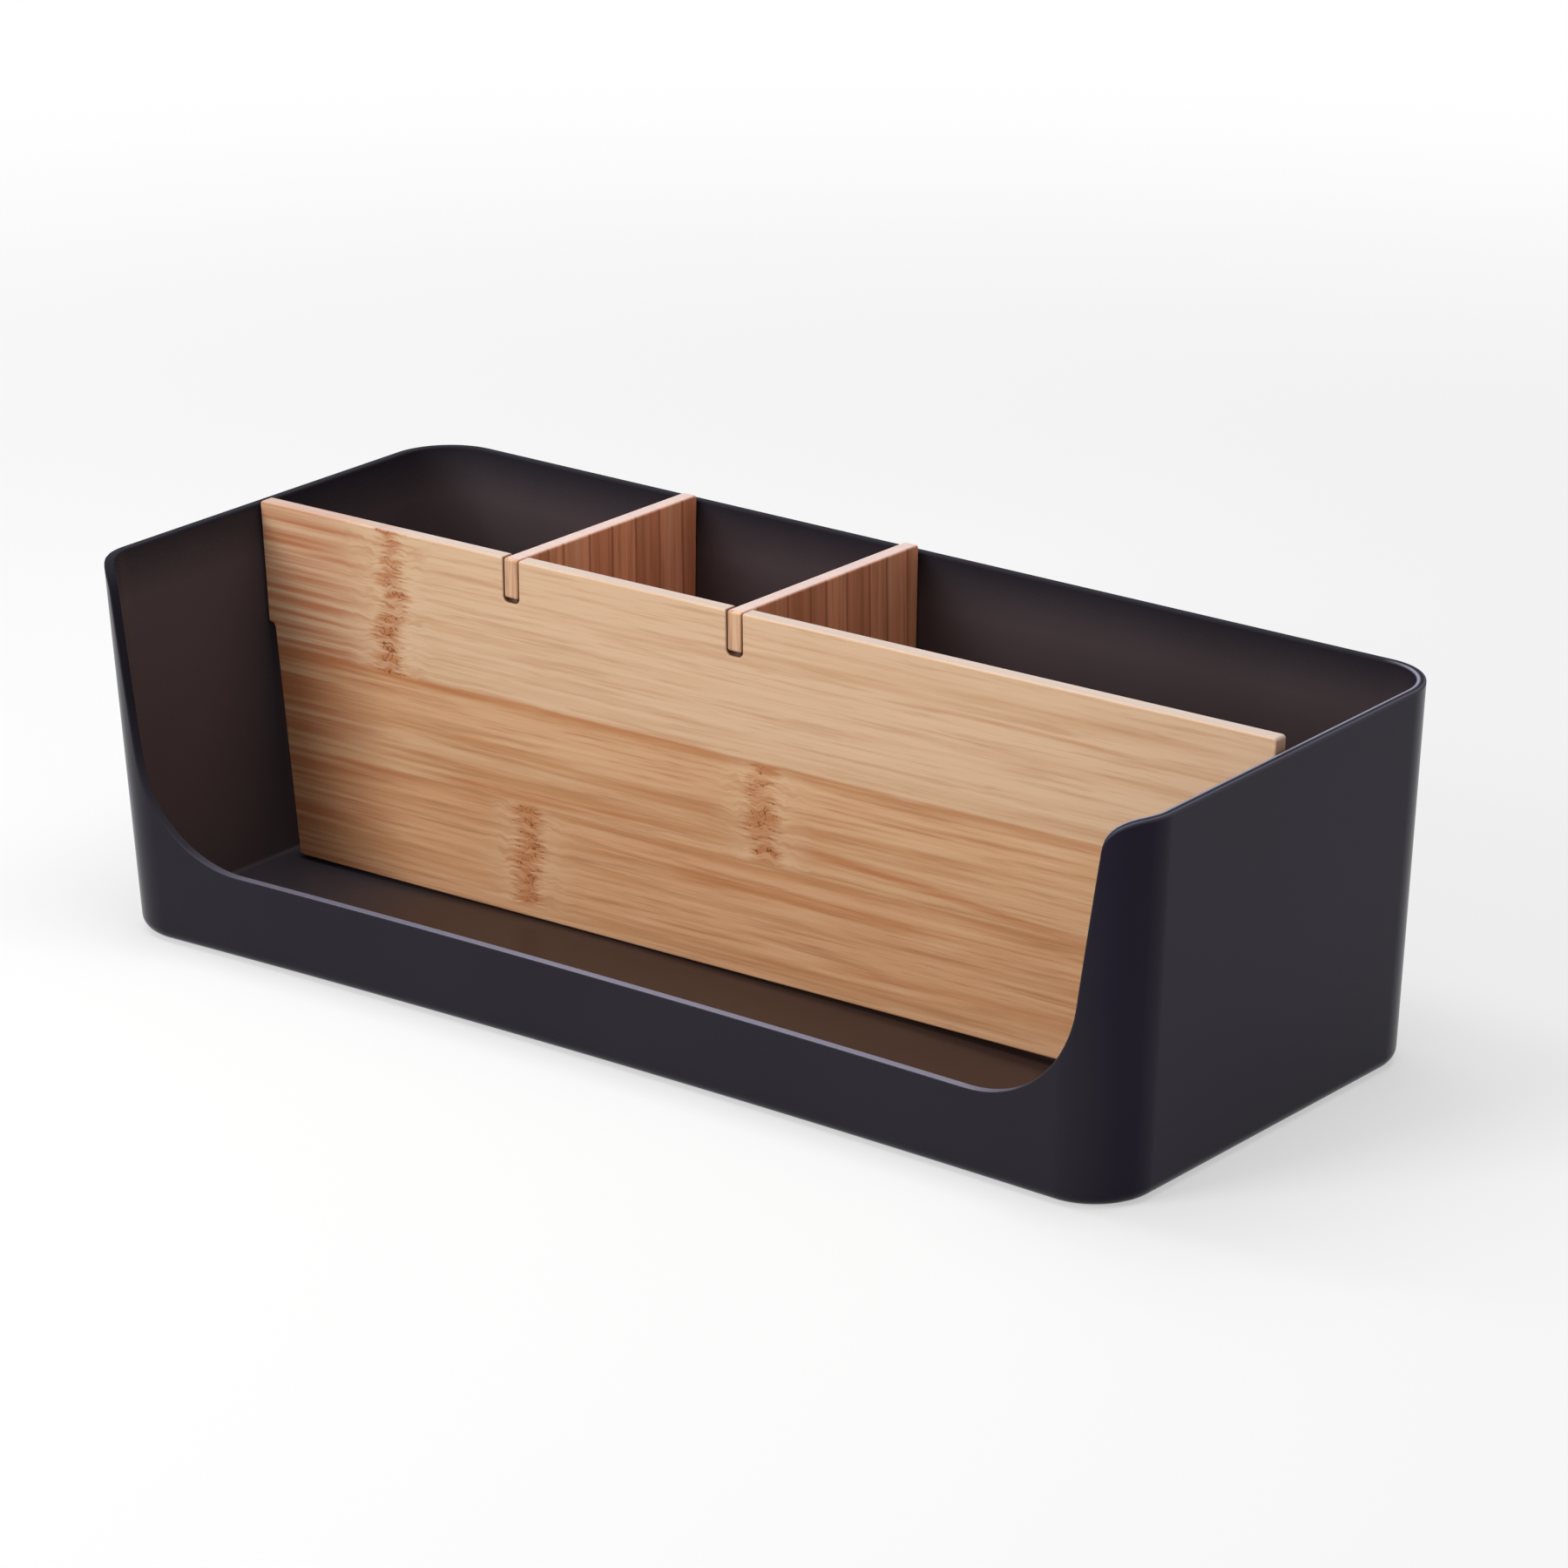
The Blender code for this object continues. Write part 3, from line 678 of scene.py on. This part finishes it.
    # inside the foot rim the floor rises in a shallow crown that is flat in its middle
    outward = calc("ADD", calc("MINIMUM", lift, 0.0), 1.0)
    x = calc("MULTIPLY", x, outward)
    centre = size["Crown Centre"]
    y = calc("MULTIPLY_ADD", calc("SUBTRACT", y, centre), outward, centre)
    crownEnd = calc("SUBTRACT", halfSizes(0.0)[0], footInset)
    endSquare = calc("MULTIPLY", crownEnd, crownEnd)
    flatSquare = calc("MULTIPLY", size["Crown Flat Length"], size["Crown Flat Length"])
    rise = calc("DIVIDE", calc("SUBTRACT", endSquare, calc("MULTIPLY", x, x)),
                calc("SUBTRACT", endSquare, flatSquare), clamp=True)
    nearEdge = rampBetween(tree, outward, size["Crown Flat Share"], 1.0)
    rise = calc("MULTIPLY", rise, calc("SUBTRACT", 1.0, calc("MULTIPLY", nearEdge, nearEdge)))
    z = calc("MULTIPLY_ADD", rise, size["Floor Crown"], z)

    keep = addNode(tree, "GeometryNodeCaptureAttribute")
    onInnerSide = calc("GREATER_THAN", row, calc("MULTIPLY", sectionCount, 0.5))
    onFloor = calc("MULTIPLY", onInnerSide, rampBetween(tree, inset, wall, base, smooth=True))
    atTop = calc("COMPARE", lift, 1.0, onLevel)
    onRim = calc("MULTIPLY", atTop, calc("SUBTRACT", 1.0, onInnerSide))
    kept = {"row": row, "lift": lift, "insideShare": onInnerSide, "floorShare": onFloor, "rimShare": onRim}
    for label in kept:
        keep.capture_items.new("FLOAT", label)
    plug(tree, grid.outputs["Mesh"], keep.inputs["Geometry"])
    for value, socket in zip(kept.values(), keep.inputs[1:]):
        plug(tree, value, socket)
    kept = dict(zip(kept, keep.outputs[1:]))
    shell = addNode(tree, "GeometryNodeSetPosition")
    plug(tree, keep.outputs[0], shell.inputs["Geometry"])
    plug(tree, pointIn(tree, x, y, z), shell.inputs["Position"])

    # weights for the bevel, only on edges that run round the tray
    alongRow = calc("COMPARE", kept["row"], calc("ROUND", kept["row"]), onRow)
    rim = calc("MULTIPLY", alongRow, calc("COMPARE", kept["lift"], 1.0, onLevel))
    weight = addNode(tree, "GeometryNodeStoreNamedAttribute", data_type="FLOAT", domain="EDGE")
    weight.inputs["Name"].default_value = "bevel_weight_edge"
    plug(tree, shell.outputs[0], weight.inputs["Geometry"])
    plug(tree, rim, weight.inputs["Value"])
    seam = addNode(tree, "GeometryNodeMergeByDistance")
    seam.inputs["Distance"].default_value = weldGap
    plug(tree, weight.outputs[0], seam.inputs["Geometry"])

    def mark(geometry, marks):
        for label, value in marks.items():
            store = addNode(tree, "GeometryNodeStoreNamedAttribute", data_type="FLOAT", domain="POINT")
            store.inputs["Name"].default_value = label
            plug(tree, geometry, store.inputs["Geometry"])
            plug(tree, value, store.inputs["Value"])
            geometry = store.outputs[0]
        return geometry

    # the underside and the floor close the first and the last row
    join = addNode(tree, "GeometryNodeJoinGeometry")
    insideLevel = calc("ADD", wall, size["Floor Crown"])
    for rowPlace, level, inShare in ((0.0, size["Floor Crown"], 0.0), (lastRow, insideLevel, 1.0)):
        loop = addNode(tree, "GeometryNodeMeshToCurve")
        plug(tree, seam.outputs[0], loop.inputs["Mesh"])
        plug(tree, calc("COMPARE", kept["row"], rowPlace, onRow), loop.inputs["Selection"])
        fill = addNode(tree, "GeometryNodeFillCurve", mode="NGONS")
        plug(tree, loop.outputs[0], fill.inputs["Curve"])
        raised = addNode(tree, "GeometryNodeSetPosition")
        plug(tree, fill.outputs[0], raised.inputs["Geometry"])
        plug(tree, pointIn(tree, 0.0, 0.0, level), raised.inputs["Offset"])
        face = raised.outputs[0]
        if rowPlace == 0.0:
            flip = addNode(tree, "GeometryNodeFlipFaces")
            plug(tree, face, flip.inputs[0])
            face = flip.outputs[0]
        face = mark(face, {"insideShare": inShare, "floorShare": inShare, "rimShare": 0.0})
        tree.links.new(face, join.inputs[0])
    marks = {label: kept[label] for label in ("insideShare", "floorShare", "rimShare")}
    tree.links.new(mark(seam.outputs[0], marks), join.inputs[0])
    closed = addNode(tree, "GeometryNodeMergeByDistance")
    closed.inputs["Distance"].default_value = weldGap
    plug(tree, join.outputs[0], closed.inputs["Geometry"])
    smooth = addNode(tree, "GeometryNodeSetShadeSmooth")
    plug(tree, closed.outputs[0], smooth.inputs["Geometry"])
    finishTree(tree, smooth.outputs[0], size["Material"], groupOut)
    return tree


def makeTray(material):
    piece = addPiece("tray_shell", bpy.data.meshes.new("tray_shell"))
    attachTree(piece, trayTree(), {**tray, **trayRows, "Material": material})
    softenEdges(piece, rimEdge["width"], rimEdge["steps"], byWeight=True)
    applyAll(piece)
    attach(piece, "tray")
    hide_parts("tray")
    print("tray_shell:", len(piece.data.polygons), "faces")


# Bamboo boards

board = {
    "Thickness": 0.004,
    "Arc Steps": 6,
    "edge": 0.00055,          # eased arris
    "edgeSteps": 4,
    "corner": 0.0009,
    "weld": 0.00001,
    "fit": 0.0003,
    "height": 0.0886,
    "top": 0.0930,
    "tilt": math.radians(0.45),
    "forward": 0.002,
    "ear": 0.0303,
    "shoulder": 0.0023,
    "footShoulder": 0.0051,
    "shoulderRadius": 0.0012,
    "slotDepth": 0.0108,
    "slotRadius": 0.0013,
    "tab": 0.0098,
    "tabRadius": 0.0007,
    "leftPlace": -0.06885,
    "rightPlace": -0.0022,
    "turn": math.radians(1.5),  # how far each divider sits turned in its slot
}


def innerHalf(height, outside, draft):  # from the tray's middle to the inner face of a drafted wall
    return outside / 2 - (tray["Height"] - height) * math.tan(draft) - tray["Wall"] / math.cos(draft)


def panelCorners():  # (place, radius) from the bottom left, counter-clockwise, foot at height 0
    foot = board["top"] - board["height"]
    step = board["top"] - board["ear"]
    top = board["height"]
    shoulder = top - board["ear"]
    draft = tray["End Draft"]
    drop = board["ear"] / 2 + tray["Length"] / 2 * math.tan(draft)
    room = board["fit"] + drop * math.sin(board["tilt"])
    topX = innerHalf(board["top"], tray["Length"], draft) - room
    earX = innerHalf(step, tray["Length"], draft) - room
    narrowX = innerHalf(step, tray["Length"], draft) - board["shoulder"]
    footX = innerHalf(foot, tray["Length"], draft) - board["footShoulder"]
    corner, bend = board["corner"], board["shoulderRadius"]
    right = [((footX, 0.0), corner), ((narrowX, shoulder), bend),
             ((earX, shoulder), 0.0), ((topX, top), corner)]
    left = [((-x, y), radius) for (x, y), radius in reversed(right)]
    half = board["Thickness"] / 2 + board["fit"]
    slots = []
    for x in (board["rightPlace"], board["leftPlace"]):
        low = top - board["slotDepth"]
        slots += [((x + half, top), 0.0), ((x + half, low), board["slotRadius"])]
        slots += [((x - half, low), board["slotRadius"]), ((x - half, top), 0.0)]
    return right + slots + left


def dividerCorners():  # X runs rearwards from the panel's front face
    foot = board["top"] - board["height"]
    top = board["height"]
    front = -board["forward"] - board["Thickness"] / 2
    body = board["Thickness"] + board["fit"]
    draft = tray["Face Draft"]
    rearTop = innerHalf(board["top"], tray["Depth"], draft) - board["fit"] - front
    rearFoot = innerHalf(foot, tray["Depth"], draft) - board["fit"] - front
    corner, tabRadius = board["corner"], board["tabRadius"]
    tabFoot = top - board["tab"]
    return [((body, 0.0), corner), ((rearFoot, 0.0), corner), ((rearTop, top), corner),
            ((0.0, top), tabRadius), ((0.0, tabFoot), tabRadius), ((body, tabFoot), 0.0)]


def boardTree():
    tree, groupIn, groupOut = newGeometryTree("cut board", ["Thickness"], ["Arc Steps"])
    size = groupIn.outputs
    calc = calcIn(tree)
    radius = addNode(tree, "GeometryNodeInputNamedAttribute", data_type="FLOAT")
    radius.inputs["Name"].default_value = "cornerRadius"
    outline = addNode(tree, "GeometryNodeMeshToCurve")
    plug(tree, size["Geometry"], outline.inputs[0])
    fillet = addNode(tree, "GeometryNodeFilletCurve", mode="POLY")
    plug(tree, outline.outputs[0], fillet.inputs["Curve"])
    plug(tree, radius.outputs[0], fillet.inputs["Radius"])
    plug(tree, size["Arc Steps"], fillet.inputs["Count"])
    fill = addNode(tree, "GeometryNodeFillCurve", mode="NGONS")
    plug(tree, fillet.outputs[0], fill.inputs["Curve"])
    back = addNode(tree, "GeometryNodeSetPosition")
    plug(tree, fill.outputs[0], back.inputs["Geometry"])
    plug(tree, pointIn(tree, 0.0, 0.0, calc("MULTIPLY", size["Thickness"], -0.5)), back.inputs["Offset"])
    push = addNode(tree, "GeometryNodeExtrudeMesh", mode="FACES")
    plug(tree, back.outputs[0], push.inputs["Mesh"])
    plug(tree, size["Thickness"], push.inputs["Offset Scale"])
    flip = addNode(tree, "GeometryNodeFlipFaces")
    plug(tree, back.outputs[0], flip.inputs[0])
    join = addNode(tree, "GeometryNodeJoinGeometry")
    tree.links.new(flip.outputs[0], join.inputs[0])
    tree.links.new(push.outputs["Mesh"], join.inputs[0])
    closed = addNode(tree, "GeometryNodeMergeByDistance")
    closed.inputs["Distance"].default_value = board["weld"]
    plug(tree, join.outputs[0], closed.inputs["Geometry"])
    smooth = addNode(tree, "GeometryNodeSetShadeSmooth")
    plug(tree, closed.outputs[0], smooth.inputs["Geometry"])
    finishTree(tree, smooth.outputs[0], size["Material"], groupOut)
    return tree


def makeBoard(name, corners, tree, material, place, body, node):
    mesh = bpy.data.meshes.new(name)
    outline = bmesh.new()
    radius = outline.verts.layers.float.new("cornerRadius")
    points = []
    for (x, y), rounding in corners:
        point = outline.verts.new((x, y, 0.0))
        point[radius] = rounding
        points.append(point)
    for point, following in zip(points, points[1:] + points[:1]):
        outline.edges.new((point, following))
    outline.to_mesh(mesh)
    outline.free()
    piece = addPiece(name, mesh)
    sizes = {label: board[label] for label in ("Thickness", "Arc Steps")}
    attachTree(piece, tree, {**sizes, "Material": material})
    softenEdges(piece, board["edge"], board["edgeSteps"], byWeight=False)
    applyAll(piece, place)
    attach(piece, body)
    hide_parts(node)
    print(name + ":", len(piece.data.polygons), "faces")


panelLook = {
    "upright": False,
    "seed": 0.0,
    "lean": 0.005,            # the strips climb a little towards the right end
    # height where a strip starts, and its tone
    "strips": [(0.0, (0.70, 0.375, 0.195, 1.0)), (0.0285, (0.69, 0.395, 0.210, 1.0)),
               (0.0533, (0.74, 0.495, 0.310, 1.0)), (0.0900, None)],
    "calm": (0.0528, 0.0542, 1.0, 0.55),  # the top strip's streaks are softer
    "knuckles": [(-0.1065, 0.0530, 0.090), (-0.0650, 0.003, 0.0283), (0.0060, 0.0290, 0.0530)],
    # from (along, height) to (along, height), how far up and down, strength
    "bands": [((-0.141, 0.0520), (-0.008, 0.0534), 0.0018, 0.75),
              ((-0.095, 0.0300), (-0.030, 0.0312), 0.0017, 0.70),
              ((0.014, 0.0350), (0.120, 0.0285), 0.0017, 0.75),
              ((-0.025, 0.0215), (0.060, 0.0225), 0.0022, 0.50),
              ((0.020, 0.0085), (0.130, 0.0100), 0.0016, 0.45),
              ((0.045, 0.0770), (0.110, 0.0765), 0.0010, 0.45)],
    "slots": [(board["leftPlace"], board["height"] - board["slotDepth"]),
              (board["rightPlace"], board["height"] - board["slotDepth"])],
    "tab": False,
    # painted shade of the tray's left wall over the board's left end
    "paintedShadeFrom": (-0.098, -0.135),
    "paintedShadeColour": (0.47, 0.165, 0.070, 1.0),
    "endGrain": (0.50, 0.25, 0.165, 1.0),
    "slats": None,
    "sawn": (0.555, 0.465, 0.42, 1.0),
}
dividerLook = {
    "upright": True,
    "lean": 0.0,
    "strips": [(0.0, (0.92, 0.39, 0.215, 1.0)), (0.022, (0.90, 0.36, 0.195, 1.0)),
               (0.045, (0.88, 0.36, 0.20, 1.0)), (0.068, None)],
    "calm": None,
    "knuckles": [],
    "bands": [],
    "slots": [],
    "tab": True,
    "paintedShadeFrom": None,
    "slats": 0.0078,
    "slatDark": (0.46, 0.135, 0.065, 1.0),
    "glueLine": (0.26, 0.075, 0.035, 1.0),
    "sawn": (0.67, 0.56, 0.53, 1.0),
}
dividerSeeds = {"left": 3.1, "right": 7.7}


def makeBoards():
    tree = boardTree()
    standing = Matrix.Rotation(math.pi / 2, 4, "X")
    sway = (board["height"] - board["ear"] / 2) * math.sin(board["tilt"])
    foot = board["top"] - board["height"]
    tilted = Matrix.Rotation(-board["tilt"], 4, "Y")
    panelPlace = Matrix.Translation((sway, -board["forward"], foot)) @ tilted
    place = panelPlace @ standing
    wood = makeBamboo("bamboo_long_grain", place, panelLook)
    makeBoard("long_panel_board", panelCorners(), tree, wood, place, "panel", "long_panel")
    turned = Matrix.Rotation(math.pi / 2 - board["turn"], 4, "Z")
    back = board["Thickness"] / 2
    backX, backY = back * math.sin(board["turn"]), back * math.cos(board["turn"])
    for side, seed in dividerSeeds.items():
        pivot = Matrix.Translation((board[side + "Place"] - backX, -backY, 0.0))
        place = panelPlace @ pivot @ turned @ standing
        wood = makeBamboo("bamboo_upright_grain_" + side, place, {**dividerLook, "seed": seed})
        makeBoard(side + "_divider_board", dividerCorners(), tree, wood, place,
                  side + "_divider", "cross_divider_" + side)


# Floor, light and camera

white = (1.0, 1.0, 1.0, 1.0)
black = (0.0, 0.0, 0.0, 1.0)
studio = {
    "floorSize": 4.0,
    "floorDrop": 0.0002,      # keeps the floor's face apart from the underside
    "floorRoughness": 0.9,
    # near the object the lit floor and its glow add up to white, further out only the glow does
    "floorColour": (0.42, 0.42, 0.42, 1.0),
    "floorGlow": 0.49,
    "fade": (0.35, 0.90),
    "worldDim": 0.38,
}
lampAim = Vector((0.0, 0.0, 0.04))
lamps = {
    "overhead": {"place": Vector((0.0, 0.05, 0.95)), "size": (0.9, 0.7), "power": 5.0},
    "key": {"place": Vector((-0.45, -1.20, 0.60)), "size": (0.6, 0.6), "power": 11.5},
    "sheen": {"place": Vector((-0.62, -0.12, 0.85)), "size": (0.2, 0.4), "power": 1.5},
}
view = {
    "lens": 162.40,
    "azimuth": math.radians(37.860),
    "elevation": math.radians(19.797),
    "roll": math.radians(-0.145),
    "distance": 1.6220558,
    "target": Vector((0.0122, -0.0041, 0.0543)),
}


def seenDirectly(tree):  # 1 for what the camera, a reflection or a clear material shows
    rays = addNode(tree, "ShaderNodeLightPath")
    calc = calcIn(tree)
    seen = calc("MAXIMUM", rays.outputs["Is Camera Ray"], rays.outputs["Is Glossy Ray"])
    return calc("MAXIMUM", seen, rays.outputs["Is Transmission Ray"])


def makeFloor():
    floor = bmesh.new()
    bmesh.ops.create_grid(floor, x_segments=1, y_segments=1, size=studio["floorSize"] / 2)
    mesh = bpy.data.meshes.new("floor")
    floor.to_mesh(mesh)
    floor.free()
    piece = addPiece("floor", mesh)
    material, tree, shader = newMaterial("floor_white", studio["floorRoughness"], 0.0)
    glow = addNode(tree, "ShaderNodeEmission")
    glow.inputs["Color"].default_value = white
    distance = addNode(tree, "ShaderNodeVectorMath", operation="LENGTH")
    plug(tree, addNode(tree, "ShaderNodeTexCoord").outputs["Object"], distance.inputs[0])
    away = rampBetween(tree, distance.outputs["Value"], *studio["fade"], smooth=True)
    plug(tree, mixColours(tree, away, studio["floorColour"], black), shader.inputs["Base Color"])
    level = rampBetween(tree, away, 0.0, 1.0, studio["floorGlow"], 1.0)
    plug(tree, calcIn(tree)("MULTIPLY", seenDirectly(tree), level), glow.inputs["Strength"])
    both = addNode(tree, "ShaderNodeAddShader")
    plug(tree, shader.outputs[0], both.inputs[0])
    plug(tree, glow.outputs[0], both.inputs[1])
    plug(tree, both.outputs[0], tree.nodes["Material Output"].inputs["Surface"])
    mesh.materials.append(material)
    piece.location.z = -studio["floorDrop"]


def makeWorld():
    world = bpy.data.worlds.new("studio")
    bpy.context.scene.world = world
    world.use_nodes = True
    tree = world.node_tree
    backdrop = tree.nodes["Background"]
    backdrop.inputs["Color"].default_value = white
    strength = rampBetween(tree, seenDirectly(tree), 0.0, 1.0, studio["worldDim"], 1.0)
    plug(tree, strength, backdrop.inputs["Strength"])


def makeLamps():
    for name, lamp in lamps.items():
        light = bpy.data.lights.new(name, "AREA")
        light.shape = "RECTANGLE"
        light.size, light.size_y = lamp["size"]
        light.energy = lamp["power"]
        item = bpy.data.objects.new(name, light)
        bpy.context.scene.collection.objects.link(item)
        item.location = lamp["place"]
        item.rotation_euler = (lamp["place"] - lampAim).to_track_quat("Z", "Y").to_euler()


def makeCamera():
    camera = bpy.data.cameras.new("camera")
    camera.sensor_width = 36.0
    camera.lens = view["lens"]
    azimuth, elevation = view["azimuth"], view["elevation"]
    level = math.cos(elevation)
    back = Vector((math.sin(azimuth) * level, -math.cos(azimuth) * level, math.sin(elevation)))
    item = bpy.data.objects.new("camera", camera)
    bpy.context.scene.collection.objects.link(item)
    right = Vector((0.0, 0.0, 1.0)).cross(back).normalized()
    aim = Matrix((right, back.cross(right), back)).transposed().to_4x4()
    item.matrix_world = (Matrix.Translation(view["target"] + back * view["distance"]) @ aim
                         @ Matrix.Rotation(view["roll"], 4, "Z"))
    bpy.context.scene.camera = item


makeTray(makePlastic())
makeBoards()
print("pieces made")
makeFloor()
makeWorld()
makeLamps()
makeCamera()
bpy.context.scene.view_settings.view_transform = "Standard"
print("studio made")
